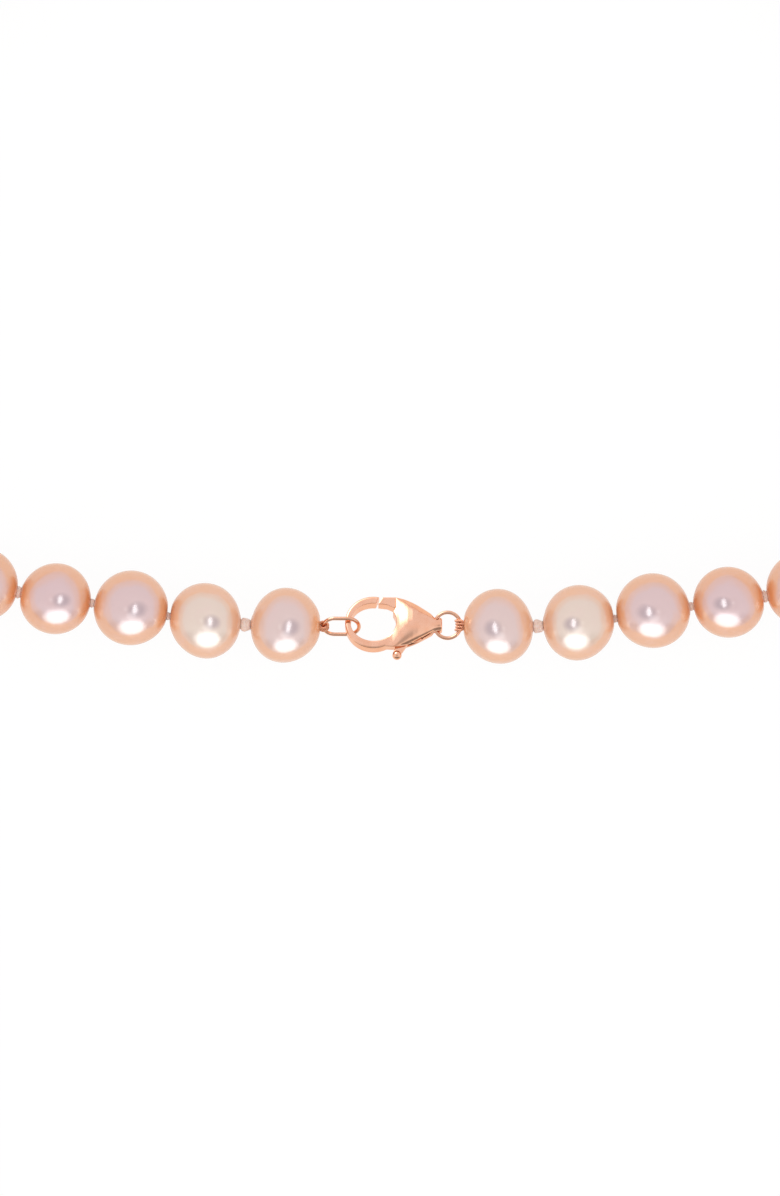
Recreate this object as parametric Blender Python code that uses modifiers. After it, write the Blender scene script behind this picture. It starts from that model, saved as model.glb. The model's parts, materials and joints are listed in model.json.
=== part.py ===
"""A princess-length pearl necklace, closed with a lobster clasp and laid flat in a loop.

The frame: +Z is up, the pearls rest on z = 0, the clasp is at -Y and the front pearl at +Y.
The loop is the same on both sides of the YZ plane, and the origin is at its middle.
"""
import math

import bmesh
import bpy
from mathutils import Matrix, Vector

MM = 0.001

# The strand
PEARLS_PER_SIDE = 21
PEARL_LENGTH = 9.6 * MM
PEARL_DIAMETER = 9.75 * MM
PEARL_SPREAD = 0.25 * MM
BACK_PEARL_LENGTHS = (9.3 * MM, 9.5 * MM, 9.85 * MM, 9.4 * MM)
BACK_PEARL_DIAMETERS = (10.0 * MM, 10.0 * MM, 10.0 * MM, 9.5 * MM)
BORE_RADIUS = 0.5 * MM
KNOT_GAP = 0.5 * MM
BACK_KNOT_GAPS = (1.3 * MM, 0.4 * MM)
CORD_HEIGHT = 5.0 * MM
CORD_RADIUS = 0.28 * MM
KNOT_RADIUS = 0.62 * MM
BACK_KNOT_RADIUS = 0.95 * MM

# How the loop lies: the headings of the first pearls, then a corner and the front's slow turn
BACK_HEADINGS = (0.8, 6.0, 9.5, 8.0, 11.0)
CORNER_PEARL = 9.0
CORNER_WIDTH = 2.2
CLASP_SPAN = 19.1 * MM

# The rings at the two ends of the strand
RING_WIRE_RADIUS = 0.25 * MM
TAIL_RING_RADIUS = 1.72 * MM
LINK_LENGTH = 4.77 * MM
LINK_WIDTH = 3.1 * MM
LINK_TILT = 47.0
RING_INSET = 0.4 * MM
RING_RISE = 0.22 * MM
GUARD_WIRE_RADIUS = 0.26 * MM
GUARD_LOOP_RADIUS = 0.61 * MM
GUARD_SPREAD = 118.0
GUARD_END_GAP = 0.1 * MM

# The clasp, in its own frame: +X to the tail, +Z out of the domed front
CLASP_TILT = 24.0
CLASP_RISE = 0.26 * MM
HOOK_CENTRE = -2.46 * MM
HOOK_OUTER = (3.79 * MM, 3.77 * MM)
HOOK_INNER = (2.96 * MM, 2.68 * MM)
HOOK_HALF_THICKNESS = 0.9 * MM
BACK_PLANE = -0.95 * MM
EYE_X = 5.82 * MM
EYE_RADIUS = 0.49 * MM
RING_IN_EYE_X = 5.71 * MM
# Along the body: place, half width and half thickness
BODY_SECTIONS = (
    (-1.8, 3.45, 0.80),
    (-0.8, 3.60, 1.15),
    (0.1, 3.64, 1.50),
    (1.0, 3.56, 1.70),
    (2.1, 3.25, 1.75),
    (3.5, 2.55, 1.50),
    (4.8, 1.72, 1.15),
    (5.6, 1.16, 0.90),
    (6.1, 0.97, 0.80),
    (6.7, 0.90, 0.76),
)
PIN_AT = Vector((2.0 * MM, 2.1 * MM, 0.0))
PIN_RADIUS = 0.32 * MM
PIN_TOP = 1.25 * MM
PIN_HOLE_GAP = 0.03 * MM
LEVER_BORE_GAP = 0.05 * MM
POCKET_SWEEP = 22.0
LEVER_HALF_THICKNESS = 0.45 * MM
NOSE_HALF_THICKNESS = 0.82 * MM
POCKET_GAP = 0.12 * MM
KNOB_AT = Vector((0.7 * MM, -4.45 * MM, 0.0))
KNOB_RADIUS = 0.62 * MM
SPRING_WIRE_RADIUS = 0.12 * MM

CURVE_STEPS = 40
PEARL_STEPS = 12
PEARL_RINGS = 8


# ---------------------------------------------------------------- scene helpers

def clear_scene():
    for obj in list(bpy.data.objects):
        bpy.data.objects.remove(obj, do_unlink=True)


def new_collection(name):
    collection = bpy.data.collections.new(name)
    bpy.context.scene.collection.children.link(collection)
    return collection


def material(name, colour, roughness, metallic):
    mat = bpy.data.materials.new(name)
    mat.use_nodes = True
    bsdf = mat.node_tree.nodes["Principled BSDF"]
    bsdf.inputs["Base Color"].default_value = (*colour, 1.0)
    bsdf.inputs["Roughness"].default_value = roughness
    bsdf.inputs["Metallic"].default_value = metallic
    return mat


def pearl_material(name):
    mat = material(name, (0.86, 0.64, 0.54), 0.22, 0.0)
    mat.node_tree.nodes["Principled BSDF"].inputs["Coat Weight"].default_value = 0.6
    return mat


def gold_material(name):
    return material(name, (0.91, 0.60, 0.46), 0.18, 1.0)


def silk_material(name):
    return material(name, (0.92, 0.80, 0.74), 0.7, 0.0)


def add_object(name, mesh, collection, mat, placement=Matrix()):
    obj = bpy.data.objects.new(name, mesh)
    collection.objects.link(obj)
    if mat is not None:
        mesh.materials.clear()
        mesh.materials.append(mat)
    obj.matrix_world = placement
    return obj


def add_pivot(name, collection, placement):
    pivot = bpy.data.objects.new(name, None)
    pivot.empty_display_size = 2 * MM
    collection.objects.link(pivot)
    pivot.matrix_world = placement
    return pivot


def smooth(obj):
    obj.data.shade_smooth()
    obj.data.set_sharp_from_angle(angle=math.radians(40))


def mesh_from(bm, name):
    mesh = bpy.data.meshes.new(name)
    bmesh.ops.recalc_face_normals(bm, faces=bm.faces)
    bm.to_mesh(mesh)
    bm.free()
    return mesh


def mesh_from_curve(curve, name):
    """The curve's evaluated mesh with its caps welded; the curve itself is removed."""
    obj = bpy.data.objects.new(name + "_curve", curve)
    bpy.context.scene.collection.objects.link(obj)
    depsgraph = bpy.context.evaluated_depsgraph_get()
    mesh = bpy.data.meshes.new_from_object(obj.evaluated_get(depsgraph))
    mesh.name = name
    bm = bmesh.new()
    bm.from_mesh(mesh)
    bmesh.ops.remove_doubles(bm, verts=bm.verts, dist=1e-6)
    bmesh.ops.recalc_face_normals(bm, faces=bm.faces)
    bm.to_mesh(mesh)
    bm.free()
    bpy.data.objects.remove(obj, do_unlink=True)
    return mesh


def wire_mesh(name, points, radius, cyclic=False, radii=None):
    curve = bpy.data.curves.new(name, "CURVE")
    curve.dimensions = "3D"
    curve.bevel_depth = radius
    curve.bevel_resolution = 2
    curve.use_fill_caps = True
    spline = curve.splines.new("POLY")
    spline.points.add(len(points) - 1)
    for i, point in enumerate(points):
        spline.points[i].co = (*point, 1.0)
        spline.points[i].radius = radii[i] / radius if radii else 1.0
    spline.use_cyclic_u = cyclic
    return mesh_from_curve(curve, name)


def plate_mesh(name, outlines, half_thickness):
    """A flat plate whose outlines after the first are its holes."""
    curve = bpy.data.curves.new(name, "CURVE")
    curve.dimensions = "2D"
    curve.fill_mode = "BOTH"
    curve.extrude = half_thickness
    for outline in outlines:
        spline = curve.splines.new("POLY")
        spline.points.add(len(outline) - 1)
        for i, point in enumerate(outline):
            spline.points[i].co = (point[0], point[1], 0.0, 1.0)
        spline.use_cyclic_u = True
    return mesh_from_curve(curve, name)


def cylinder_mesh(name, radius, start, end, segments=20):
    """A round bar between two points."""
    along = end - start
    bm = bmesh.new()
    bmesh.ops.create_cone(
        bm, cap_ends=True, segments=segments, radius1=radius, radius2=radius, depth=along.length
    )
    turn = along.to_track_quat("Z", "Y").to_matrix().to_4x4()
    bmesh.ops.transform(bm, matrix=Matrix.Translation((start + end) / 2) @ turn, verts=bm.verts)
    return mesh_from(bm, name)


def ellipse(centre_x, radii, steps=CURVE_STEPS):
    turns = [2 * math.pi * i / steps for i in range(steps)]
    return [(centre_x + radii[0] * math.cos(t), radii[1] * math.sin(t)) for t in turns]


def combine(obj, cutter_mesh, operation, cutters):
    """Boolean with a mesh in the object's own frame; the tool stays in the cutters collection."""
    tool = add_object(f"{obj.name}_{cutter_mesh.name}", cutter_mesh, cutters, None)
    tool.matrix_world = obj.matrix_world
    tool.hide_render = True
    tool.display_type = "WIRE"
    modifier = obj.modifiers.new(cutter_mesh.name, "BOOLEAN")
    modifier.operation = operation
    modifier.object = tool
    modifier.solver = "EXACT"
    return tool


# ---------------------------------------------------------------- where the strand lies

class Pearl:
    """One pearl's size and place; the strand runs through it from `inlet` to `outlet`."""

    def __init__(self, index, length, diameter, gap_before, gap_after):
        self.index = index
        self.length = length
        self.diameter = diameter
        self.gap_before = gap_before
        self.gap_after = gap_after
        self.span = gap_before / 2 + length + gap_after / 2
        self.heading = 0.0
        self.inlet = Vector((0, 0, 0))
        self.outlet = Vector((0, 0, 0))

    def direction(self):
        return Vector((math.cos(self.heading), math.sin(self.heading), 0.0))

    def centre(self):
        return self.inlet + self.direction() * (self.gap_before / 2 + self.length / 2)


def knot_gap(index):
    """The gap after pearl `index`, counted from the clasp."""
    if index == 0:
        return 0.0
    if index <= len(BACK_KNOT_GAPS):
        return BACK_KNOT_GAPS[index - 1]
    return KNOT_GAP


def side_pearls():
    pearls = []
    for index in range(1, PEARLS_PER_SIDE + 1):
        if index <= len(BACK_PEARL_LENGTHS):
            length = BACK_PEARL_LENGTHS[index - 1]
            diameter = BACK_PEARL_DIAMETERS[index - 1]
        else:
            length = PEARL_LENGTH + PEARL_SPREAD * math.sin(2.4 * index)
            diameter = PEARL_DIAMETER + PEARL_SPREAD * math.sin(1.7 * index + 1.0)
        pearls.append(Pearl(index, length, diameter, knot_gap(index - 1), knot_gap(index)))
    return pearls


def lay_out(pearls, front_turn):
    """Set the headings for a given turn at each front knot, and return where the last knot lands."""
    back = len(BACK_HEADINGS)
    places = range(back, PEARLS_PER_SIDE)
    bumps = [math.exp(-(((i + 1 - CORNER_PEARL) / CORNER_WIDTH) ** 2)) for i in places]
    last = 180.0 - front_turn
    corner = (last - BACK_HEADINGS[-1] - front_turn * len(bumps)) / sum(bumps)
    heading = 0.0
    at = Vector((CLASP_SPAN / 2, 0.0, 0.0))
    for i, pearl in enumerate(pearls):
        if i < back:
            heading = BACK_HEADINGS[i]
        else:
            heading += front_turn + corner * bumps[i - back]
        pearl.heading = math.radians(heading)
        pearl.inlet = at.copy()
        at = at + pearl.direction() * pearl.span
        pearl.outlet = at.copy()
    return at


def close_loop(pearls, front_pearl):
    """Find the front turn at which the strand meets the front pearl on the mirror plane."""
    low, high = 1.0, 9.9
    for _ in range(60):
        middle = (low + high) / 2
        end = lay_out(pearls, middle)
        if end.x > front_pearl.span / 2:
            high = middle
        else:
            low = middle
    front_pearl.heading = math.pi
    front_pearl.inlet = lay_out(pearls, middle)
    front_pearl.outlet = front_pearl.inlet + front_pearl.direction() * front_pearl.span
    lift = Vector((0, -front_pearl.inlet.y / 2, CORD_HEIGHT))
    for pearl in [*pearls, front_pearl]:
        pearl.inlet += lift
        pearl.outlet += lift
    return lift


def mirrored(point):
    return Vector((-point.x, point.y, point.z))


def side_placement(at, heading, side):
    """A frame whose X runs along the strand, away from the clasp; side is 1 right, -1 left."""
    if side > 0:
        return Matrix.Translation(at) @ Matrix.Rotation(heading, 4, "Z")
    return Matrix.Translation(mirrored(at)) @ Matrix.Rotation(math.pi - heading, 4, "Z")


# ---------------------------------------------------------------- the strand's pieces

def pearl_mesh(pearl):
    """A closed turning profile round local Z, with the bore as its inner side."""
    start = math.asin(BORE_RADIUS / (pearl.diameter / 2))
    mesh = bpy.data.meshes.new(f"pearl_{pearl.index:02d}")
    points = []
    for i in range(PEARL_RINGS + 1):
        turn = start + (math.pi - 2 * start) * i / PEARL_RINGS
        scale = math.cos(turn) / math.cos(start)
        points.append((pearl.diameter / 2 * math.sin(turn), 0.0, pearl.length / 2 * scale))
    edges = [(i, (i + 1) % len(points)) for i in range(len(points))]
    mesh.from_pydata(points, edges, [])
    return mesh


def build_pearl(name, pearl, placement, collection):
    along_x = Matrix.Rotation(math.pi / 2, 4, "Y")
    obj = add_object(name, pearl_mesh(pearl), collection, pearl_material(name), placement @ along_x)
    screw = obj.modifiers.new("turn", "SCREW")
    screw.axis = "Z"
    screw.steps = PEARL_STEPS
    screw.render_steps = PEARL_STEPS
    screw.use_merge_vertices = True
    screw.merge_threshold = 1e-6
    screw.use_smooth_shade = True
    return obj


def cord_half(pearls):
    """Points and radii along one side, from its clasp end to the last knot's middle."""
    inside = CORD_RADIUS
    points = [pearls[0].inlet + pearls[0].direction() * 0.3 * MM]
    radii = [inside]
    for pearl in pearls:
        knot = BACK_KNOT_RADIUS if pearl.gap_after > 2 * KNOT_GAP else KNOT_RADIUS
        shoulder = pearl.gap_after / 2 + 0.12 * MM
        points.append(pearl.outlet - pearl.direction() * shoulder)
        radii.append(inside)
        points.append(pearl.outlet)
        radii.append(knot)
        after = pearls[pearl.index] if pearl.index < len(pearls) else None
        onward = after.direction() if after else Vector((-1, 0, 0))
        points.append(pearl.outlet + onward * shoulder)
        radii.append(inside)
    return points, radii


def build_cord(pearls, collection):
    right, right_radii = cord_half(pearls)
    left = [mirrored(point) for point in right]
    points = [*right, *reversed(left)]
    radii = [*right_radii, *reversed(right_radii)]
    mesh = wire_mesh("silk_cord", points, CORD_RADIUS, radii=radii)
    obj = add_object("silk_cord", mesh, collection, silk_material("silk_cord"))
    smooth(obj)
    return obj


# ---------------------------------------------------------------- rings and wire guards

def build_tail_ring(placement, collection):
    """A round ring in the table's plane, hung on the guard at its +X side; origin on that wire."""
    points = []
    for i in range(CURVE_STEPS):
        turn = 2 * math.pi * i / CURVE_STEPS
        x = TAIL_RING_RADIUS * (math.cos(turn) - 1)
        points.append(Vector((x, TAIL_RING_RADIUS * math.sin(turn), 0)))
    mesh = wire_mesh("tail_ring", points, RING_WIRE_RADIUS, cyclic=True)
    obj = add_object("tail_ring", mesh, collection, gold_material("tail_ring"), placement)
    smooth(obj)
    return obj


def build_oval_link(placement, collection):
    """Two half circles joined by straight sides, leaning on its long axis; origin at its -X wire."""
    end_radius = LINK_WIDTH / 2
    straight = LINK_LENGTH - LINK_WIDTH
    points = []
    for i in range(CURVE_STEPS):
        turn = 2 * math.pi * (i + 0.5) / CURVE_STEPS
        middle = end_radius + (straight if math.cos(turn) > 0 else 0.0)
        points.append(Vector((middle + end_radius * math.cos(turn), end_radius * math.sin(turn), 0)))
    lean = Matrix.Rotation(math.radians(LINK_TILT), 4, "X")
    points = [lean @ point for point in points]
    mesh = wire_mesh("oval_link", points, RING_WIRE_RADIUS, cyclic=True)
    obj = add_object("oval_link", mesh, collection, gold_material("oval_link"), placement)
    smooth(obj)
    return obj


def build_wire_guard(name, placement, collection):
    """A loop in the XZ plane round a ring's wire at the origin, open towards the pearl at +X."""
    spread = math.radians(GUARD_SPREAD)
    steps = 14
    mouth = Vector((RING_INSET - GUARD_END_GAP, 0, GUARD_WIRE_RADIUS + GUARD_END_GAP / 4))
    points = [mouth]
    for i in range(steps + 1):
        turn = spread - 2 * spread * i / steps
        points.append(GUARD_LOOP_RADIUS * Vector((-math.cos(turn), 0, math.sin(turn))))
    points.append(Vector((mouth.x, 0, -mouth.z)))
    mesh = wire_mesh(name, points, GUARD_WIRE_RADIUS)
    obj = add_object(name, mesh, collection, gold_material(name), placement)
    smooth(obj)
    return obj


# ---------------------------------------------------------------- the clasp

def loft_mesh(name, sections):
    """Elliptical sections along X, joined and capped."""
    bm = bmesh.new()
    rings = []
    for x, half_width, half_thickness in sections:
        ring = []
        for y, z in ellipse(0.0, (half_width, half_thickness), 28):
            ring.append(bm.verts.new((x * MM, y * MM, z * MM)))
        rings.append(ring)
    for first, second in zip(rings, rings[1:]):
        for i in range(len(first)):
            j = (i + 1) % len(first)
            bm.faces.new((first[i], first[j], second[j], second[i]))
    bm.faces.new(rings[0])
    bm.faces.new(rings[-1])
    return mesh_from(bm, name)


def box_mesh(name, low, high):
    bm = bmesh.new()
    bmesh.ops.create_cube(bm, size=1.0)
    size = Vector(high) - Vector(low)
    bmesh.ops.scale(bm, vec=size, verts=bm.verts)
    bmesh.ops.translate(bm, vec=Vector(low) + size / 2, verts=bm.verts)
    return mesh_from(bm, name)


def millimetres(points):
    return [(x * MM, y * MM) for x, y in points]


def turned_about_pin(point, degrees):
    offset = Matrix.Rotation(math.radians(degrees), 2) @ (Vector(point) - PIN_AT.to_2d())
    return tuple(offset + PIN_AT.to_2d())


def build_clasp_body(placement, collection, cutters):
    mesh = loft_mesh("clasp_body", BODY_SECTIONS)
    body = add_object("clasp_body", mesh, collection, gold_material("clasp_body"), placement)
    # the flat back
    back = box_mesh("flat_back", (-2 * MM, -6 * MM, -4 * MM), (9 * MM, 6 * MM, BACK_PLANE))
    combine(body, back, "DIFFERENCE", cutters)
    # the hook grows out of the shell's lower side, and the shell is cut away over its opening
    hook = plate_mesh("hook", [ellipse(HOOK_CENTRE, HOOK_OUTER)], HOOK_HALF_THICKNESS)
    combine(body, hook, "UNION", cutters)
    opening = plate_mesh("opening", [ellipse(HOOK_CENTRE, HOOK_INNER)], 4 * MM)
    combine(body, opening, "DIFFERENCE", cutters)
    # the gap that the gate's nose closes, from the hook's slanting tip to the shell's shoulder
    notch = millimetres([(-2.10, 2.1), (-1.42, 4.6), (0.55, 4.6), (0.55, 2.18), (0.0, 1.2)])
    combine(body, plate_mesh("gate_notch", [notch], 4 * MM), "DIFFERENCE", cutters)
    # the pocket that the lever's arm swings in, open at the shoulder and along the lower edge
    left = [(0.3, 3.45), (0.25, 1.7), (0.95, 1.65), (1.2, 1.2), (0.62, -2.6), (0.1, -5.2)]
    right = [turned_about_pin((x * MM, y * MM), POCKET_SWEEP) for x, y in ((2.0, -5.6), (2.75, 1.3))]
    pocket = [*millimetres(left), *right, *millimetres([(2.8, 2.4), (2.2, 2.8), (1.2, 3.15)])]
    pocket_half = LEVER_HALF_THICKNESS + POCKET_GAP
    combine(body, plate_mesh("lever_pocket", [pocket], pocket_half), "DIFFERENCE", cutters)
    # the rivet hole and the tail eye
    hole = cylinder_mesh(
        "pin_hole",
        PIN_RADIUS + PIN_HOLE_GAP,
        PIN_AT + Vector((0, 0, -3 * MM)),
        PIN_AT + Vector((0, 0, 3 * MM)),
    )
    combine(body, hole, "DIFFERENCE", cutters)
    upright = Matrix.Rotation(math.radians(CLASP_TILT), 3, "X")
    reach = upright @ Vector((0, 3 * MM, 0))
    at = Vector((EYE_X, 0, 0))
    combine(body, cylinder_mesh("tail_eye", EYE_RADIUS, at - reach, at + reach), "DIFFERENCE", cutters)
    smooth(body)
    return body


def build_clasp_lever(placement, collection, cutters):
    """The gate nose, rocker arm and thumb knob, with the origin on the pin."""
    arm = millimetres([
        (0.2, 3.3), (1.2, 3.0), (2.1, 2.66), (2.58, 2.2), (2.6, 1.5),
        (1.75, -2.9), (1.2, -3.9), (0.25, -3.9), (0.8, -2.6), (1.35, 1.2), (0.95, 2.1), (0.2, 2.5),
    ])
    nose = millimetres([
        (-1.0, 3.62), (0.4, 3.6), (0.34, 2.36), (-0.6, 2.6), (-1.65, 2.68),
    ])
    to_pin = Matrix.Translation(-PIN_AT)
    mesh = plate_mesh("clasp_lever", [arm], LEVER_HALF_THICKNESS)
    mesh.transform(to_pin)
    lever = add_object("clasp_lever", mesh, collection, gold_material("clasp_lever"))
    lever.matrix_world = placement @ Matrix.Translation(PIN_AT)
    nose_mesh = plate_mesh("gate_nose", [nose], NOSE_HALF_THICKNESS)
    nose_mesh.transform(to_pin)
    combine(lever, nose_mesh, "UNION", cutters)
    bm = bmesh.new()
    bmesh.ops.create_uvsphere(bm, u_segments=16, v_segments=10, radius=KNOB_RADIUS)
    knob = mesh_from(bm, "thumb_knob")
    knob.transform(Matrix.Translation(KNOB_AT - PIN_AT))
    combine(lever, knob, "UNION", cutters)
    bore = cylinder_mesh(
        "lever_bore",
        PIN_RADIUS + LEVER_BORE_GAP,
        Vector((0, 0, -2 * MM)),
        Vector((0, 0, 2 * MM)),
    )
    combine(lever, bore, "DIFFERENCE", cutters)
    smooth(lever)
    return lever


def build_lever_pin(placement, collection):
    bottom = Vector((0, 0, BACK_PLANE + 0.02 * MM))
    mesh = cylinder_mesh("lever_pin", PIN_RADIUS, bottom, Vector((0, 0, PIN_TOP)), 16)
    obj = add_object("lever_pin", mesh, collection, gold_material("lever_pin"))
    obj.matrix_world = placement @ Matrix.Translation(PIN_AT)
    smooth(obj)
    return obj


def build_lever_spring(placement, collection):
    """A hairpin between the arm's tail side and the pocket's end wall."""
    fold = Vector((2.75 * MM, -1.75 * MM, 0))
    legs = [Vector((3.4 * MM, 0.5 * MM, 0)), fold + Vector((0.2 * MM, 0.1 * MM, 0)), fold]
    legs += [fold + Vector((-0.2 * MM, 0.15 * MM, 0)), Vector((2.55 * MM, 0.1 * MM, 0))]
    mesh = wire_mesh("lever_spring", legs, SPRING_WIRE_RADIUS)
    mat = material("lever_spring", (0.6, 0.6, 0.62), 0.3, 1.0)
    obj = add_object("lever_spring", mesh, collection, mat, placement)
    smooth(obj)
    return obj


# ---------------------------------------------------------------- assembly

def hang(child, parent):
    """Parent the child without moving it."""
    child.parent = parent
    child.matrix_parent_inverse = parent.matrix_world.inverted()


def build_side(pearls, side, front_pivot, parts):
    """One side's pearls, each hung on a pivot at its front knot; returns the last pivot."""
    word = "right" if side > 0 else "left"
    links = []
    for pearl in pearls:
        pivot_at = side_placement(pearl.outlet, pearl.heading, side)
        pivot = add_pivot(f"knot_{word}_{pearl.index:02d}_pivot", parts, pivot_at)
        pearl_at = side_placement(pearl.centre(), pearl.heading, side)
        piece = build_pearl(f"pearl_{word}_{pearl.index:02d}", pearl, pearl_at, parts)
        links.append((pivot, piece))
    bpy.context.view_layer.update()
    for i, (pivot, piece) in enumerate(links):
        hang(piece, pivot)
        hang(pivot, links[i + 1][0] if i + 1 < len(links) else front_pivot)
    return links[0][0]


def main():
    clear_scene()
    parts = new_collection("pearl_necklace")
    cutters = new_collection("cutters")
    pearls = side_pearls()
    front = Pearl(0, PEARL_LENGTH, PEARL_DIAMETER, KNOT_GAP, KNOT_GAP)
    lift = close_loop(pearls, front)
    front_at = Matrix.Translation(front.centre())
    front_pivot = add_pivot("front_pivot", parts, front_at)
    front_piece = build_pearl("pearl_front", front, front_at, parts)
    cord = build_cord(pearls, parts)
    bpy.context.view_layer.update()
    hang(front_piece, front_pivot)
    hang(cord, front_pivot)
    right_end = build_side(pearls, 1, front_pivot, parts)
    left_end = build_side(pearls, -1, front_pivot, parts)

    ring_x = CLASP_SPAN / 2 - RING_INSET
    ring_at = Matrix.Translation(lift + Vector((ring_x, RING_RISE, 0)))
    link_at = Matrix.Translation(lift + Vector((-ring_x, 0, 0)))
    about_face = Matrix.Rotation(math.radians(LINK_TILT), 4, "X") @ Matrix.Rotation(math.pi, 4, "Z")
    eye_at = Matrix.Translation(lift + Vector((RING_IN_EYE_X, RING_RISE, 0)))
    clasp_at = Matrix.Translation(lift + Vector((0, CLASP_RISE, 0)))
    clasp_at = clasp_at @ Matrix.Rotation(math.radians(-CLASP_TILT), 4, "X")

    guard_at = Matrix.Translation(lift + Vector((ring_x, 0, 0)))
    guard_right = build_wire_guard("wire_guard_right", guard_at, parts)
    guard_left = build_wire_guard("wire_guard_left", link_at @ about_face, parts)
    ring = build_tail_ring(ring_at, parts)
    link = build_oval_link(link_at, parts)
    eye_pivot = add_pivot("tail_eye_pivot", parts, eye_at)
    body = build_clasp_body(clasp_at, parts, cutters)
    lever = build_clasp_lever(clasp_at, parts, cutters)
    pin = build_lever_pin(clasp_at, parts)
    spring = build_lever_spring(clasp_at, parts)
    bpy.context.view_layer.update()
    hang(guard_right, right_end)
    hang(guard_left, left_end)
    hang(ring, right_end)
    hang(link, left_end)
    hang(eye_pivot, ring)
    for piece in (body, lever, pin, spring):
        hang(piece, eye_pivot)
    bpy.context.view_layer.update()


main()
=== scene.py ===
import json
import math
import random

import bmesh
import bpy
import numpy as np
from mathutils import Matrix, Vector

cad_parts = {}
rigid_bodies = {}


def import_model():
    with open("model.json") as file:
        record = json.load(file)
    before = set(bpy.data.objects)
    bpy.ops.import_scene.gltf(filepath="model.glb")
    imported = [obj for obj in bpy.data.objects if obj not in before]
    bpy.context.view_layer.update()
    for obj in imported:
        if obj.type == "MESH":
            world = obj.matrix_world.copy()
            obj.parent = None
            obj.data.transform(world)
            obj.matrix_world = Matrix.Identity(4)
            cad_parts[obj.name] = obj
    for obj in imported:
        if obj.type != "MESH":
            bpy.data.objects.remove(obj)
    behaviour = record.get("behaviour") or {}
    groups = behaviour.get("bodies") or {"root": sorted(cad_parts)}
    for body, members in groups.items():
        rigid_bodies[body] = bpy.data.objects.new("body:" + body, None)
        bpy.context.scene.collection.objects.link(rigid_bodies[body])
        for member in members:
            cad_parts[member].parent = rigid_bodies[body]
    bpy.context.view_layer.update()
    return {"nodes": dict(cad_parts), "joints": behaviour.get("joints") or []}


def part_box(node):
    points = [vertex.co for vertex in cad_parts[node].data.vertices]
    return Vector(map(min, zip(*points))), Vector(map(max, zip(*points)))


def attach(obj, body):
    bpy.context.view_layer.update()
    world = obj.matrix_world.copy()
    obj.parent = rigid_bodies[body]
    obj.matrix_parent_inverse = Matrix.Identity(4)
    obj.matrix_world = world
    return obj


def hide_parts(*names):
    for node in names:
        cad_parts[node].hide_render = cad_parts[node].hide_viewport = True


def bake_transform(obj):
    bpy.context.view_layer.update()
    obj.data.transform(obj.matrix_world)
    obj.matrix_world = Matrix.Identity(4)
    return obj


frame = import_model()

MM = 0.001
JOINTS = {joint["name"]: joint for joint in frame["joints"]}
SIDES = {"right": -1, "left": 1}
PER_SIDE = sum(1 for name in JOINTS if name.startswith("knot_right_"))
UP = Vector((0, 0, 1))


# ------------------------------------------------------------------ places read from the frame

def joint_at(name):
    return Vector(JOINTS[name]["pos_m"])


def joint_axis(name):
    return Vector(JOINTS[name]["axis"]).normalized()


def node_points(node):
    mesh = frame["nodes"][node].data
    points = np.zeros(len(mesh.vertices) * 3)
    mesh.vertices.foreach_get("co", points)
    return points.reshape(-1, 3)


def box_middle(node):
    low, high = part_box(node)
    return (low + high) / 2


class Bead:
    """Where one pearl sits, measured from its CAD solid and the knots beside it."""

    def __init__(self, node, index, word, along):
        self.node = node
        self.index = index
        self.word = word
        self.along = along.normalized()
        self.centre = box_middle(node)
        points = node_points(node) - np.array(self.centre)
        reach = points @ np.array(self.along)
        self.centre += self.along * float(reach.max() + reach.min()) / 2
        points = node_points(node) - np.array(self.centre)
        reach = points @ np.array(self.along)
        across = np.linalg.norm(points - np.outer(reach, np.array(self.along)), axis=1)
        self.half_length = float(reach.max())
        self.radius = float(across.max())
        self.bore = float(across.min())

    def placement(self):
        """Local X out of the loop, Y up and Z along the bore, mirrored from side to side."""
        sign = SIDES.get(self.word, 1)
        forward = self.along * sign
        outward = UP.cross(forward).normalized()
        turn = Matrix((outward, UP, forward)).transposed().to_4x4()
        return Matrix.Translation(self.centre) @ turn


def strand(word):
    """One side's pearls, from the clasp to the front."""
    beads = []
    for index in range(1, PER_SIDE + 1):
        node = f"pearl_{word}_{index:02d}"
        outlet = joint_at(f"knot_{word}_{index:02d}")
        inlet = joint_at(f"knot_{word}_{index - 1:02d}") if index > 1 else box_middle(node)
        beads.append(Bead(node, index, word, outlet - inlet))
    return beads


# ------------------------------------------------------------------ mesh helpers

def add_piece(name, mesh, material, placement=Matrix()):
    piece = bpy.data.objects.new(name, mesh)
    bpy.context.scene.collection.objects.link(piece)
    piece.matrix_world = placement
    mesh.materials.clear()
    mesh.materials.append(material)
    mesh.shade_smooth()
    return piece


def mesh_of(name, vertices, faces):
    mesh = bpy.data.meshes.new(name)
    mesh.from_pydata([tuple(v) for v in vertices], [], faces)
    bm = bmesh.new()
    bm.from_mesh(mesh)
    bmesh.ops.recalc_face_normals(bm, faces=bm.faces)
    bm.to_mesh(mesh)
    bm.free()
    return mesh


def grid_faces(rows, columns, close_rows):
    """Quads between rows of points that close round on themselves."""
    faces = []
    for j in range(rows if close_rows else rows - 1):
        k = (j + 1) % rows
        for i in range(columns):
            n = (i + 1) % columns
            faces.append((j * columns + i, j * columns + n, k * columns + n, k * columns + i))
    return faces


# directions that no tube and no coil here starts along
TUBE_ASKEW = (0.3, 0.5, 0.8)
COIL_ASKEW = (0.2, 0.9, 0.1)


def across_path(tangents, askew):
    """Two directions across a path at each of its points, carried along without twist."""
    normal = np.cross(tangents[0], askew)
    for tangent in tangents:
        normal = normal - tangent * (normal @ tangent)
        normal /= np.linalg.norm(normal)
        yield normal, np.cross(tangent, normal)


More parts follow.
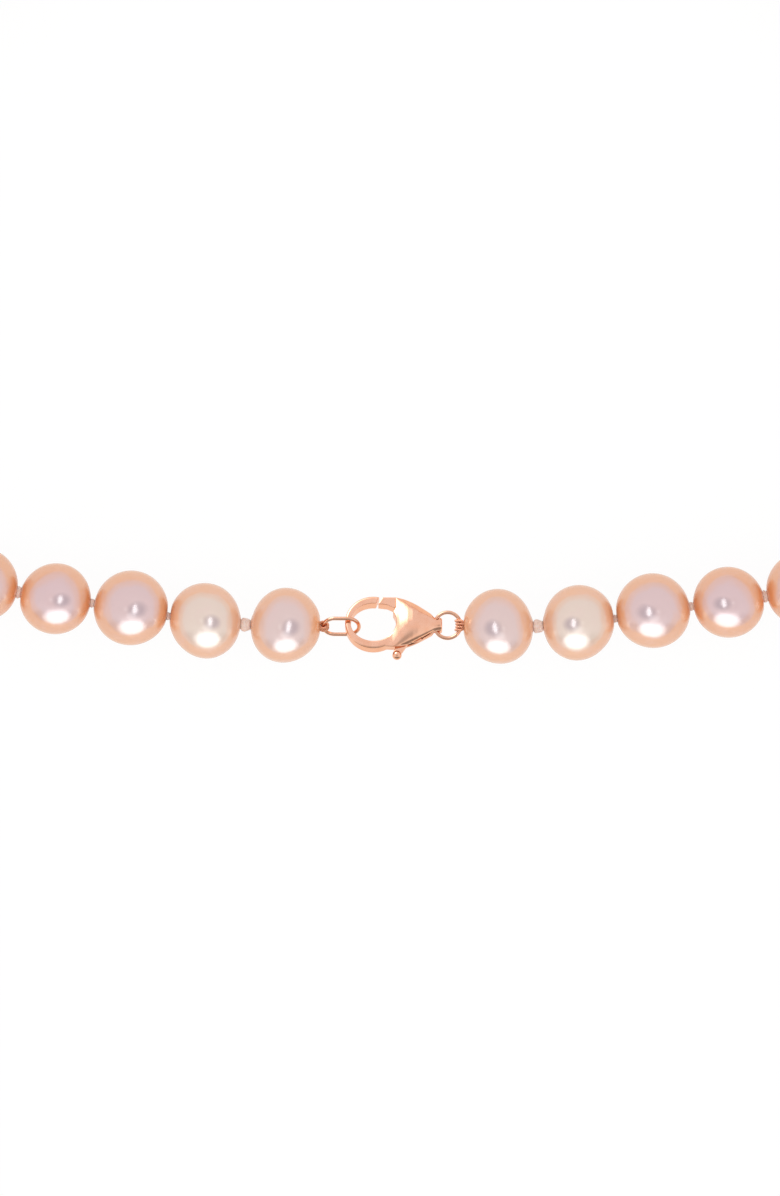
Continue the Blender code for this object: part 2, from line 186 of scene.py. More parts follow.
def tube(name, path, radius, sides=16, closed=False):
    """A tube along the path.

    radius is one number, one for each point, or one for each point and side.
    """
    path = np.array(path, float)
    count = len(path)
    radius = np.array(radius, float)
    if radius.ndim == 1:
        radius = radius[:, None]
    radius = np.broadcast_to(radius, (count, sides))
    if closed:
        tangents = np.roll(path, -1, 0) - np.roll(path, 1, 0)
    else:
        tangents = np.gradient(path, axis=0)
    tangents /= np.linalg.norm(tangents, axis=1)[:, None]
    vertices = []
    for point, reach, (normal, side) in zip(path, radius, across_path(tangents, TUBE_ASKEW)):
        for i in range(sides):
            turn = 2 * math.pi * i / sides
            arm = math.cos(turn) * normal + math.sin(turn) * side
            vertices.append(point + arm * reach[i])
    faces = grid_faces(count, sides, closed)
    if not closed:
        faces.append(tuple(range(sides)))
        faces.append(tuple((count - 1) * sides + i for i in reversed(range(sides))))
    return mesh_of(name, vertices, faces)


def smooth_path(points, per_span):
    """A Catmull-Rom curve through the points."""
    points = [Vector(p) for p in points]
    points = [2 * points[0] - points[1], *points, 2 * points[-1] - points[-2]]
    path = []
    for a, b, c, d in zip(points, points[1:], points[2:], points[3:]):
        for i in range(per_span):
            t = i / per_span
            path.append(0.5 * (2 * b + (c - a) * t + (2 * a - 5 * b + 4 * c - d) * t * t
                               + (3 * b - a - 3 * c + d) * t ** 3))
    path.append(points[-2])
    return path


def smoothstep(low, high, value):
    t = np.clip((value - low) / (high - low), 0.0, 1.0)
    return t * t * (3 - 2 * t)


# ------------------------------------------------------------------ materials

class Nodes:
    """A node tree, with short calls for the nodes used here."""

    def __init__(self, tree):
        self.tree = tree

    def add(self, kind, **values):
        node = self.tree.nodes.new(kind)
        for key, value in values.items():
            setattr(node, key, value)
        return node

    def put(self, value, socket):
        """Link a socket or set a plain value."""
        if isinstance(value, bpy.types.NodeSocket):
            self.tree.links.new(value, socket)
        else:
            socket.default_value = value

    def object_coordinates(self):
        return self.add("ShaderNodeTexCoord").outputs["Object"]

    def noise(self, vector, scale, detail=2.0, roughness=0.5):
        node = self.add("ShaderNodeTexNoise")
        self.put(vector, node.inputs["Vector"])
        node.inputs["Scale"].default_value = scale
        node.inputs["Detail"].default_value = detail
        node.inputs["Roughness"].default_value = roughness
        return node.outputs["Fac"]

    def math(self, operation, first, second=0.0):
        node = self.add("ShaderNodeMath", operation=operation)
        self.put(first, node.inputs[0])
        self.put(second, node.inputs[1])
        return node.outputs[0]

    def span(self, value, low, high, to_low=0.0, to_high=1.0):
        """Map low..high to to_low..to_high with soft ends."""
        node = self.add("ShaderNodeMapRange", interpolation_type="SMOOTHSTEP")
        self.put(value, node.inputs["Value"])
        node.inputs["From Min"].default_value = low
        node.inputs["From Max"].default_value = high
        node.inputs["To Min"].default_value = to_low
        node.inputs["To Max"].default_value = to_high
        return node.outputs["Result"]

    def mix(self, share, first, second):
        node = self.add("ShaderNodeMix", data_type="RGBA")
        self.put(share, node.inputs[0])
        for value, socket in ((first, node.inputs[6]), (second, node.inputs[7])):
            self.put((*value, 1.0) if isinstance(value, tuple) else value, socket)
        return node.outputs[2]

    def ramp(self, value, stops):
        node = self.add("ShaderNodeValToRGB")
        node.color_ramp.interpolation = "EASE"
        elements = node.color_ramp.elements
        while len(elements) < len(stops):
            elements.new(0.5)
        for element, (place, colour) in zip(elements, stops):
            element.position = place
            element.color = (*colour, 1.0)
        self.put(value, node.inputs["Fac"])
        return node.outputs["Color"]

    def vector(self, operation, first, second=(0.0, 0.0, 0.0)):
        node = self.add("ShaderNodeVectorMath", operation=operation)
        self.put(first, node.inputs[0])
        self.put(second, node.inputs[1])
        return node.outputs["Vector"]

    def scaled(self, colour, strength):
        """A colour multiplied by a number."""
        node = self.add("ShaderNodeVectorMath", operation="SCALE")
        self.put(colour, node.inputs[0])
        self.put(strength, node.inputs["Scale"])
        return node.outputs["Vector"]

    def product(self, *values):
        result = values[0]
        for value in values[1:]:
            result = self.math("MULTIPLY", result, value)
        return result

    def length(self, x, y):
        return self.math("SQRT", self.math("ADD", self.product(x, x), self.product(y, y)))

    def split(self, vector):
        """A vector's X, Y and Z."""
        node = self.add("ShaderNodeSeparateXYZ")
        self.put(vector, node.inputs[0])
        return node.outputs["X"], node.outputs["Y"], node.outputs["Z"]

    def stretched(self, vector, scale, rotation=(0.0, 0.0, 0.0)):
        node = self.add("ShaderNodeMapping")
        self.put(vector, node.inputs["Vector"])
        node.inputs["Scale"].default_value = scale
        node.inputs["Rotation"].default_value = rotation
        return node.outputs[0]

    def bump(self, height, strength, distance):
        node = self.add("ShaderNodeBump")
        self.put(height, node.inputs["Height"])
        node.inputs["Strength"].default_value = strength
        node.inputs["Distance"].default_value = distance
        return node.outputs["Normal"]


def material_nodes(name):
    """A new material's nodes, with its Principled shader as bsdf."""
    material = bpy.data.materials.new(name)
    material.use_nodes = True
    n = Nodes(material.node_tree)
    n.material = material
    n.bsdf = n.tree.nodes["Principled BSDF"]
    return n


LAVENDER = (0.69, 0.475, 0.48)
CREAM = (0.78, 0.62, 0.51)
PEACH = (0.84, 0.40, 0.20)
PEACH_PALE = (0.86, 0.47, 0.28)
PEACH_EDGE = (0.84, 0.52, 0.36)
HOLE_ORANGE = (0.80, 0.27, 0.06)
# the colour of the painted reflection of the dark lens overhead, mixed into the nacre
PAINTED_LENS_REFLECTION = (0.30, 0.20, 0.24)
BLUSH = (0.80, 0.52, 0.50)
SILK_DEEP = (0.80, 0.55, 0.44)
SILK_PALE = (0.95, 0.80, 0.72)
SILK_WHITE = (0.97, 0.88, 0.84)
GOLD = (1.0, 0.60, 0.40)
GOLD_WARM = (0.97, 0.54, 0.34)


def blend_colour(first, second, share):
    return tuple(a + (b - a) * share for a, b in zip(first, second))


def half_vector(n, direction):
    """Where a mirrored direction lies on a ball looked at from above: x right, y to the front."""
    x, y, _ = n.split(n.vector("NORMALIZE", n.vector("ADD", direction, (0.0, 0.0, 1.0))))
    return x, n.math("MULTIPLY", y, -1.0)


def painted_lens_reflection(n, side):
    """Painted reflection: the dim mirrored shape of a lens overhead, painted into the nacre beside
    the light's small spot.
    """
    middle_x, middle_y = 0.19 * side, 0.04
    reach_x, reach_y = 0.34, 0.28
    _, _, view_rise = n.split(n.add("ShaderNodeNewGeometry").outputs["Incoming"])
    overhead = n.span(view_rise, 0.8, 0.97)
    x, y = half_vector(n, n.add("ShaderNodeTexCoord").outputs["Reflection"])
    across = n.math("DIVIDE", n.math("SUBTRACT", x, middle_x), reach_x)
    down = n.math("DIVIDE", n.math("SUBTRACT", y, middle_y), reach_y)
    return n.product(overhead, n.span(n.length(across, down), 1.0, 0.3, 0.0, 0.62))


def nacre_material(name, cream, depth, tints, half_length, seed, side):
    """Nacre: its heart is pale and its rim is peach, and both drill holes are stained orange.

    cream runs from lavender pink 0 to ivory 1, depth from a pale peach rim 0 to a deep one 1,
    tints are the stains at the local +Z and -Z holes, and side is 1 on the left, -1 on the right.
    """
    n = material_nodes(name)
    place = n.object_coordinates()
    shifted = n.vector("ADD", place, (0.013 * seed, 0.007 * seed, 0.011 * seed))
    clouds = n.noise(shifted, 190.0, 3.0)
    veins = n.noise(shifted, 420.0, 4.0, 0.6)
    facing = n.add("ShaderNodeLayerWeight")
    facing.inputs["Blend"].default_value = 0.5
    wander = n.span(clouds, 0.3, 0.7, -0.05, 0.05)
    tilt = n.math("ADD", facing.outputs["Facing"], wander)
    heart = blend_colour(LAVENDER, CREAM, cream)
    rim = blend_colour(PEACH_PALE, PEACH, depth)
    inset = 0.07 * depth
    colour = n.ramp(tilt, [
        (0.0, heart),
        (0.19 - inset, heart),
        (0.31 - inset, blend_colour(heart, rim, 0.34)),
        (0.44 - inset, blend_colour(heart, rim, 0.9)),
        (0.62, rim),
        (0.95, PEACH_EDGE),
    ])
    blush = n.span(veins, 0.45, 0.75, 0.0, 0.22)
    colour = n.mix(blush, colour, BLUSH)
    _, _, along = n.split(place)
    along = n.math("DIVIDE", along, half_length)
    along = n.math("ADD", along, n.span(clouds, 0.3, 0.7, -0.08, 0.08))
    for sign, strength in ((1, tints[0]), (-1, tints[1])):
        reach = n.math("MULTIPLY", along, float(sign))
        stain = n.span(reach, 0.74, 0.94, 0.0, strength)
        colour = n.mix(stain, colour, HOLE_ORANGE)
    # painted reflection: the lens overhead as a dark patch in the nacre's colour, beside the spot
    colour = n.mix(painted_lens_reflection(n, side), colour, PAINTED_LENS_REFLECTION)
    n.put(colour, n.bsdf.inputs["Base Color"])
    n.bsdf.inputs["Roughness"].default_value = 0.42
    n.bsdf.inputs["IOR"].default_value = 1.5
    n.bsdf.inputs["Coat Weight"].default_value = 1.0
    n.bsdf.inputs["Coat Roughness"].default_value = 0.19
    n.bsdf.inputs["Coat IOR"].default_value = 2.1
    ripple = n.noise(place, 700.0, 3.0, 0.55)
    n.put(n.bump(ripple, 0.10, 0.00005), n.bsdf.inputs["Normal"])
    return n.material


def gold_material(name, roughness=0.13, shade=1.0):
    """Polished rose gold with faint buffing marks and small colour drift; a shade under 1 darkens
    its colour as painted shade.
    """
    n = material_nodes(name)
    place = n.object_coordinates()
    clouds = n.noise(place, 900.0, 3.0)
    base = tuple(shade * c for c in GOLD)
    warm = tuple(shade * c for c in GOLD_WARM)
    n.put(n.mix(n.span(clouds, 0.35, 0.7), base, warm), n.bsdf.inputs["Base Color"])
    n.bsdf.inputs["Metallic"].default_value = 1.0
    marks = n.noise(n.stretched(place, (0.25, 1.0, 1.0)), 9000.0, 5.0, 0.7)
    buffed = n.span(marks, 0.3, 0.7, roughness * 0.75, roughness * 1.4)
    n.put(buffed, n.bsdf.inputs["Roughness"])
    n.put(n.bump(marks, 0.025, 0.00002), n.bsdf.inputs["Normal"])
    return n.material


def steel_material(name):
    n = material_nodes(name)
    marks = n.noise(n.object_coordinates(), 8000.0, 4.0)
    n.put(n.span(marks, 0.3, 0.7, 0.2, 0.4), n.bsdf.inputs["Roughness"])
    n.bsdf.inputs["Base Color"].default_value = (0.55, 0.55, 0.57, 1.0)
    n.bsdf.inputs["Metallic"].default_value = 1.0
    return n.material


def silk_material(name):
    """Twisted silk: pale blush fibres that let a little light through."""
    n = material_nodes(name)
    place = n.object_coordinates()
    fibres = n.noise(n.stretched(place, (1.0, 0.15, 1.0), (0.4, 0.9, 0.6)), 9000.0, 4.0, 0.7)
    blotches = n.noise(place, 1500.0, 2.0)
    colour = n.mix(n.span(fibres, 0.3, 0.7), SILK_DEEP, SILK_PALE)
    colour = n.mix(n.span(blotches, 0.4, 0.7, 0.0, 0.4), colour, SILK_WHITE)
    n.put(colour, n.bsdf.inputs["Base Color"])
    n.bsdf.inputs["Roughness"].default_value = 0.55
    n.bsdf.inputs["Sheen Weight"].default_value = 0.5
    n.bsdf.inputs["Subsurface Weight"].default_value = 0.2
    n.bsdf.inputs["Subsurface Radius"].default_value = (0.0004, 0.0003, 0.0002)
    n.put(n.bump(fibres, 0.6, 0.00006), n.bsdf.inputs["Normal"])
    return n.material


# ------------------------------------------------------------------ pearls

PEARL_RINGS = 46
PEARL_SEGMENTS = 64
BORE_SHARES = (-0.97, -0.5, 0.5, 0.97)
BORE_SLACK = 0.96


def pearl_form(index):
    """How far pearl `index` strays from round: shares of its radius for each shape term."""
    draw = random.Random(1000 + index)
    terms = {
        "slant": draw.gauss(0, 0.010),
        "egg": draw.gauss(0, 0.008),
        "oval": draw.gauss(0, 0.006),
        "pear": draw.gauss(0, 0.006),
        "square": draw.gauss(0, 0.005),
        "shift": draw.gauss(0, 0.008),
        "grooves": (),
    }
    terms.update(BACK_FORMS.get(index, {}))
    return terms


# The back section's own shapes. Grooves are (axis lean, angle from that axis, depth, width).
BACK_FORMS = {
    1: {"slant": 0.018, "egg": -0.014, "oval": 0.0, "shift": 0.0, "grooves": ()},
    2: {"slant": -0.022, "egg": 0.012, "oval": 0.004, "shift": 0.004,
        "grooves": ((75.0, 42.0, 0.006, 2.6), (75.0, 33.0, 0.005, 2.4))},
    3: {"slant": 0.004, "egg": -0.006, "oval": 0.0, "shift": -0.045,
        "grooves": ((24.0, 39.0, 0.007, 1.9), (24.0, 32.0, 0.003, 1.6))},
    4: {"slant": 0.008, "egg": 0.004, "oval": 0.0, "shift": 0.03, "grooves": ()},
    5: {"slant": -0.01, "egg": 0.0, "oval": 0.0, "shift": -0.022, "grooves": ()},
}


def pearl_mesh(bead, terms):
    """A drilled pearl: rings of points from one bore mouth to the other, then back inside."""
    start = math.asin(min(0.9, bead.bore / bead.radius))
    turns = np.linspace(start, math.pi - start, PEARL_RINGS)
    phi = 2 * math.pi * np.arange(PEARL_SEGMENTS) / PEARL_SEGMENTS
    axial = np.cos(turns)[:, None] / math.cos(start) * np.ones_like(phi)
    out = np.sin(turns)[:, None] * np.cos(phi)
    up = np.sin(turns)[:, None] * np.sin(phi)
    swell = (terms["slant"] * 2 * out * axial
             + terms["egg"] * axial * (5 * axial ** 2 - 3) / 2
             + terms["oval"] * (out ** 2 - up ** 2)
             + terms["pear"] * out * (5 * out ** 2 - 3) / 2
             + terms["square"] * (8 * out ** 2 * up ** 2)
             + terms["shift"] * out)
    for lean, angle, depth, width in terms["grooves"]:
        lean = math.radians(lean)
        reach = np.clip(out * math.sin(lean) + up * math.cos(lean), -1, 1)
        off = (np.degrees(np.arccos(reach)) - angle) / width
        swell -= depth * np.exp(-off ** 2)
    swell *= smoothstep(math.sin(start), 0.35, np.sin(turns))[:, None]
    scale = 1 + swell
    outer = np.stack([out * bead.radius * scale, up * bead.radius * scale,
                      axial * bead.half_length * scale], axis=-1)
    # the drilled bore, from one mouth back to the other
    bore = bead.bore * BORE_SLACK
    inner = []
    for share in BORE_SHARES:
        level = np.full_like(phi, share * bead.half_length)
        inner.append(np.stack([bore * np.cos(phi), bore * np.sin(phi), level], axis=-1))
    vertices = np.concatenate([outer.reshape(-1, 3), np.array(inner).reshape(-1, 3)])
    vertices[:, 2] *= SIDES.get(bead.word, 1)
    faces = grid_faces(PEARL_RINGS + len(inner), PEARL_SEGMENTS, True)
    return mesh_of(bead.node + "_nacre", vertices, faces)


# cream, depth and the stains at the clasp end and the front end
BACK_NACRE = {
    1: (0.35, 0.55, 0.55, 0.10),
    2: (0.95, 0.35, 0.15, 0.15),
    3: (0.10, 0.65, 0.70, 0.10),
    4: (0.00, 0.95, 0.95, 0.55),
    5: (0.10, 0.90, 0.75, 0.40),
}


def pearl_nacre(bead):
    """Each pair, left and right, shares its colours."""
    draw = random.Random(2000 + bead.index)
    guess = (draw.random(), draw.random(), draw.uniform(0, 0.7), draw.uniform(0, 0.7))
    cream, depth, clasp_end, front_end = BACK_NACRE.get(bead.index, guess)
    # the pearl's front end is at local +Z on the left and -Z on the right
    tints = (front_end, clasp_end) if bead.word != "right" else (clasp_end, front_end)
    name = f"nacre_{bead.word}_{bead.index:02d}"
    side = SIDES.get(bead.word, 1)
    return nacre_material(name, cream, depth, tints, bead.half_length, bead.index, side)


def build_pearl(bead):
    mesh = pearl_mesh(bead, pearl_form(bead.index))
    piece = add_piece(bead.node + "_nacre", mesh, pearl_nacre(bead), bead.placement())
    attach(piece, bead.node)
    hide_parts(bead.node)


# ------------------------------------------------------------------ silk

THREAD_RADIUS = 0.27 * MM
SILK_SIDES = 24
PLY_PITCH = 0.5 * MM
KNOT_OVERLAP = 0.12 * MM
# knot radii near the clasp, where the cord's ends were tied in
KNOT_RADII = {1: 0.86 * MM, 2: 0.5 * MM, 3: 0.56 * MM, 4: 0.78 * MM}
FAR_KNOT_RADIUS = 0.8 * MM


def silk_ring(place, half_knot, knot_radius):
    """The cord's radius round one section: three plies, swollen and wrapped at the knot."""
    share = place / half_knot
    swell = max(0.0, 1 - abs(share) ** 5) ** 0.6 if abs(share) < 1 else 0.0
    ring = []
    for i in range(SILK_SIDES):
        turn = 2 * math.pi * i / SILK_SIDES
        ply = 1 + 0.06 * math.cos(3 * (turn + place / PLY_PITCH))
        wrap = 1 + 0.075 * math.cos(2 * turn + 3.4 * share) + 0.03 * math.cos(5 * turn - 5 * share)
        ring.append(max(THREAD_RADIUS * ply, knot_radius * swell * wrap))
    return ring


def silk_between(name, first, second, knot_at, silk):
    """The cord from the middle of one pearl to the middle of the next, with the knot between."""
    start = Vector(first.centre)
    end = Vector(second.centre)
    into = (knot_at - start).normalized()
    onto = (end - knot_at).normalized()
    reach_in = (knot_at - start).length
    reach_out = (end - knot_at).length
    gap = reach_in - first.half_length + reach_out - second.half_length
    bend = math.degrees(into.angle(onto))
    half_knot = gap / 2 + KNOT_OVERLAP
    far_radius = FAR_KNOT_RADIUS * max(0.5, 1 - bend / 45)
    knot_radius = KNOT_RADII.get(first.index, far_radius)
    # the turn at the knot is rounded off over this length
    soft = half_knot * 0.6
    near = np.linspace(-1, 1, 25) * half_knot * 1.25
    places = [-reach_in, -reach_in * 0.6, -half_knot * 2.5, *near, half_knot * 2.5,
              reach_out * 0.6, reach_out]
    path = []
    for place in places:
        ahead = 0.5 * (place + math.sqrt(place * place + soft * soft))
        path.append(knot_at + into * (place - ahead) + onto * ahead)
    radii = [silk_ring(place, half_knot, knot_radius) for place in places]
    piece = add_piece(name, tube(name, path, radii, SILK_SIDES), silk)
    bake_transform(piece)
    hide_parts("silk_cord")


def build_silk(beads, word, front, silk):
    for bead, after in zip(beads, [*beads[1:], front]):
        knot = joint_at(f"knot_{word}_{bead.index:02d}")
        silk_between(f"silk_{word}_{bead.index:02d}", bead, after, knot, silk)
    # the clasp end of the cord, from the first pearl's middle to its mouth
    first = beads[0]
    path = [first.centre - first.along * reach for reach in
            np.linspace(0, first.half_length + 0.02 * MM, 8)]
    end = add_piece(f"silk_{word}_end", tube(f"silk_{word}_end", path, THREAD_RADIUS, 12), silk)
    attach(end, first.node)


# ------------------------------------------------------------------ rings and wire guards

RING_WIRE = 0.25 * MM
RING_POINTS = 120
RING_SIDES = 24
SEAM_SHARE = 0.86
# the guards: fine wire coiled round the cord's passes
GUARD_RADIUS = 0.205 * MM
GUARD_WIRE = 0.05 * MM
GUARD_SPREAD = 112
GUARD_BENDS = 8
GUARD_MOUTH = 0.16 * MM


def build_ring(node, path, material, seam_at):
    """A closed wire ring with the fine seam where it was cut and pushed shut."""
    radii = np.full(len(path), RING_WIRE)
    radii[seam_at] *= SEAM_SHARE
    mesh = tube(node + "_wire", path, radii, RING_SIDES, closed=True)
    piece = add_piece(node + "_wire", mesh, material)
    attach(piece, node)
    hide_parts(node)


def tail_ring_path():
    low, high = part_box("tail_ring")
    middle = box_middle("tail_ring")
    radius = (high.x - low.x) / 2 - RING_WIRE
    turns = 2 * math.pi * np.arange(RING_POINTS) / RING_POINTS
    return [middle + Vector((radius * math.cos(t), radius * math.sin(t), 0)) for t in turns]


def oval_link_path():
    """A stadium that leans on its long side, sized from the CAD link's box."""
    low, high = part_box("oval_link")
    middle = box_middle("oval_link")
    size = high - low
    rise = size.z - 2 * RING_WIRE
    spread = size.y - 2 * RING_WIRE
    width = math.hypot(rise, spread)
    straight = size.x - 2 * RING_WIRE - width
    across = Vector((0, spread, rise)).normalized()
    path = []
    for i in range(RING_POINTS):
        turn = 2 * math.pi * (i + 0.5) / RING_POINTS
        x = math.cos(turn) * width / 2 + math.copysign(straight / 2, math.cos(turn))
        path.append(middle + Vector((x, 0, 0)) + across * (math.sin(turn) * width / 2))
    return path


def coil(path, coil_radius, pitch, per_turn=12):
    """A fine helix wound along a path."""
    path = np.array(path, float)
    steps = np.linalg.norm(np.diff(path, axis=0), axis=1)
    reach = np.concatenate([[0], np.cumsum(steps)])
    count = int(reach[-1] / pitch * per_turn)
    at = np.linspace(0, reach[-1], count)
    centre = np.stack([np.interp(at, reach, path[:, k]) for k in range(3)], axis=1)
    tangents = np.gradient(centre, axis=0)
    tangents /= np.linalg.norm(tangents, axis=1)[:, None]
    wound = []
    for j, (normal, side) in enumerate(across_path(tangents, COIL_ASKEW)):
        turn = 2 * math.pi * j / per_turn
        wound.append(centre[j] + coil_radius * (math.cos(turn) * normal + math.sin(turn) * side))
    return wound


def guard_path(mouth, offset, recede, loop_radius):
    """One pass of the cord: from the pearl's mouth round the ring's wire and back."""
    points = [Vector((mouth, offset * 0.45, GUARD_MOUTH))]
    for i in range(GUARD_BENDS + 1):
        turn = math.radians(GUARD_SPREAD * (1 - 2 * i / GUARD_BENDS))
        points.append(Vector((-loop_radius * math.cos(turn) - recede, offset,
                              loop_radius * math.sin(turn))))
    points.append(Vector((mouth, offset * 0.45, -GUARD_MOUTH)))
    return smooth_path(points, 6)


def build_guard(word, pivot, lean, ring_curve, offsets, clearance, material):
    """French wire: fine coils over the cord's passes round the ring, open to the pearl.

    lean tips the passes about X in degrees, ring_curve is the ring's radius where they sit, and
    offsets are their places along the ring's wire.
    """
    node = f"wire_guard_{word}"
    low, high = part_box(node)
    sign = 1 if word == "right" else -1
    mouth = (high.x if word == "right" else -low.x) - pivot.x * sign
    loop_radius = RING_WIRE + GUARD_RADIUS + clearance
    turned = Matrix.Rotation(math.radians(lean), 3, "X")
    core_radius = GUARD_RADIUS - GUARD_WIRE
    strands = []
    for offset in offsets:
        recede = ring_curve - math.sqrt(ring_curve ** 2 - offset ** 2)
        points = guard_path(mouth, offset, recede, loop_radius)
        path = [pivot + turned @ Vector((p.x * sign, p.y, p.z)) for p in points]
        strands.append(tube("strand", coil(path, core_radius, 2 * GUARD_WIRE), GUARD_WIRE, 8))
        strands.append(tube("strand", path, core_radius, 10))
    piece = add_piece(node + "_coil", strands[0], material)
    for extra in strands[1:]:
        join_mesh(piece, extra)
    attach(piece, f"pearl_{word}_01")
    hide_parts(node)


def join_mesh(piece, extra):
    bm = bmesh.new()
    bm.from_mesh(piece.data)
    bm.from_mesh(extra)
    bm.to_mesh(piece.data)
    bm.free()
    piece.data.shade_smooth()


# ------------------------------------------------------------------ the clasp, in millimetres

HOOK_CENTRE = -2.46
HOOK_OUTER = (3.79, 3.77)
HOOK_INNER = (3.04, 2.72)
HOOK_HALF = 0.9
BACK_PLANE = -0.95
PIN_LOCAL = Vector((2.0, 2.1, 0.0))
PIN_RADIUS = 0.32
POCKET_SWEEP = 22.0
EYE_X = 5.82
EYE_RADIUS = 0.56
KNOB = Vector((0.7, -4.45, 0.0))
KNOB_RADIUS = 0.62
# the pocket for the lever, the lever's arm in it, and the slot that the lever's heel shows in
POCKET_HEIGHTS = (-0.36, 0.42)
ARM_HEIGHTS = (-0.3, 0.36)
SLOT_HEIGHTS = (0.0, 0.32)
HEEL_HEIGHTS = (0.04, 0.28)
NOSE_HALF = 0.82
SPRING_WIRE = 0.12
# the grain of the remeshed castings, and how often their edges are relaxed
VOXEL = 0.055
BODY_PASSES = 12
LEVER_PASSES = 4
# place along the body, half width, crest of the dome, top of the side wall
BODY = (
    (-1.8, 3.50, 0.80, 0.76), (-0.8, 3.62, 0.88, 0.85), (0.1, 3.68, 0.97, 0.88),
    (0.6, 3.64, 1.14, 0.84), (1.0, 3.58, 1.34, 0.76), (1.6, 3.46, 1.55, 0.64),
    (2.1, 3.28, 1.66, 0.54), (2.8, 2.98, 1.71, 0.44), (3.5, 2.60, 1.64, 0.38),
    (4.8, 1.76, 1.25, 0.30), (5.6, 1.20, 0.96, 0.26), (6.1, 1.0, 0.84, 0.24),
    (6.56, 0.93, 0.78, 0.22), (6.7, 0.82, 0.66, 0.18),
)


def clasp_placement():
    """The clasp's own frame, from its lever joint: X to the tail and Z out of the domed front."""
    z = joint_axis("lever_trigger")
    x = Vector((1, 0, 0))
    turn = Matrix((x, z.cross(x), z)).transposed()
    origin = joint_at("lever_trigger") - turn @ (PIN_LOCAL * MM)
    return Matrix.Translation(origin) @ turn.to_4x4() @ Matrix.Scale(MM, 4)


def plate(outline, low, high, rounding=0.0):
    """A flat plate between two heights, with its edges rounded by a bevel."""
    bm = bmesh.new()
    bottom = [bm.verts.new((x, y, low)) for x, y in outline]
    face = bm.faces.new(bottom)
    extruded = bmesh.ops.extrude_face_region(bm, geom=[face])
    top = [v for v in extruded["geom"] if isinstance(v, bmesh.types.BMVert)]
    bmesh.ops.translate(bm, vec=(0, 0, high - low), verts=top)
    bmesh.ops.recalc_face_normals(bm, faces=bm.faces)
    if rounding:
        rims = [e for e in bm.edges if abs(e.verts[0].co.z - e.verts[1].co.z) < 1e-6]
        bmesh.ops.bevel(bm, geom=rims, offset=rounding, segments=3, profile=0.5, affect="EDGES")
    return bm


def to_mesh(bm, name):
    mesh = bpy.data.meshes.new(name)
    bmesh.ops.recalc_face_normals(bm, faces=bm.faces)
    bm.to_mesh(mesh)
    bm.free()
    return mesh


def oval(centre_x, radii, steps=120):
    """An ellipse's outline."""
    turns = [2 * math.pi * i / steps for i in range(steps)]
    return [(centre_x + radii[0] * math.cos(t), radii[1] * math.sin(t)) for t in turns]


def bar(start, end, radius, segments=48):
    """A round bar between two points."""
    along = end - start
    bm = bmesh.new()
    bmesh.ops.create_cone(bm, cap_ends=True, segments=segments, radius1=radius, radius2=radius,
                          depth=along.length)
    turn = along.to_track_quat("Z", "Y").to_matrix().to_4x4()
    bmesh.ops.transform(bm, matrix=Matrix.Translation((start + end) / 2) @ turn, verts=bm.verts)
    return bm


def body_section(x):
    """Half width, crest and wall top anywhere along the body."""
    rows = np.array(BODY)
    return tuple(float(np.interp(x, rows[:, 0], rows[:, k])) for k in (1, 2, 3))


def body_outline(x):
    """One cross-section: a domed front over side walls, with a fine crease between them."""
    width, crest, wall = body_section(x)
    below = 0.965 * width
    crease = 0.02 + 0.12 * float(smoothstep(0.0, 1.6, x))
    points = []
    for t in np.linspace(0, math.pi, 60):
        reach = (width if math.cos(t) > 0 else below - crease) * math.cos(t)
        points.append((reach, wall - crease + (crest - wall + crease) * math.sin(t) ** 0.92))
    points += [(-(below - crease / 2), wall), (-below, wall - 0.04)]
    points += [(-0.95 * below, -0.7), (-0.9 * below, BACK_PLANE - 0.1)]
    points += [(0.9 * below, BACK_PLANE - 0.1), (0.97 * width, -0.6)]
    return points


def body_loft():
    """The body's solid, skinned over its cross-sections."""
    bm = bmesh.new()
    rows = []
    for x in np.linspace(BODY[0][0], BODY[-1][0], 90):
        rows.append([bm.verts.new((x, y, z)) for y, z in body_outline(x)])
    for first, second in zip(rows, rows[1:]):
        for i in range(len(first)):
            j = (i + 1) % len(first)
            bm.faces.new((first[i], first[j], second[j], second[i]))
    bm.faces.new(rows[0])
    bm.faces.new(rows[-1])
    return bm


def sector(inner, outer, start, end):
    """Part of a ring round the pin, between two directions in degrees."""
    turns = [math.radians(a) for a in np.linspace(start, end, 16)]
    corners = [(outer, t) for t in turns] + [(inner, t) for t in reversed(turns)]
    return [(PIN_LOCAL.x + r * math.cos(t), PIN_LOCAL.y + r * math.sin(t)) for r, t in corners]


def pin_bar(low, high, radius):
    """A round bar on the pin's axis."""
    return bar(PIN_LOCAL + Vector((0, 0, low)), PIN_LOCAL + Vector((0, 0, high)), radius)


def carve(target, steps):
    """Put boolean steps on a working object; gives back their tool objects."""
    tools = []
    for i, (operation, bm) in enumerate(steps):
        tool = bpy.data.objects.new(f"tool_{i}", to_mesh(bm, f"tool_{i}"))
        bpy.context.scene.collection.objects.link(tool)
        tools.append(tool)
        modifier = target.modifiers.new(f"step_{i}", "BOOLEAN")
        modifier.operation = operation
        modifier.object = tool
        modifier.solver = "EXACT"
    return tools


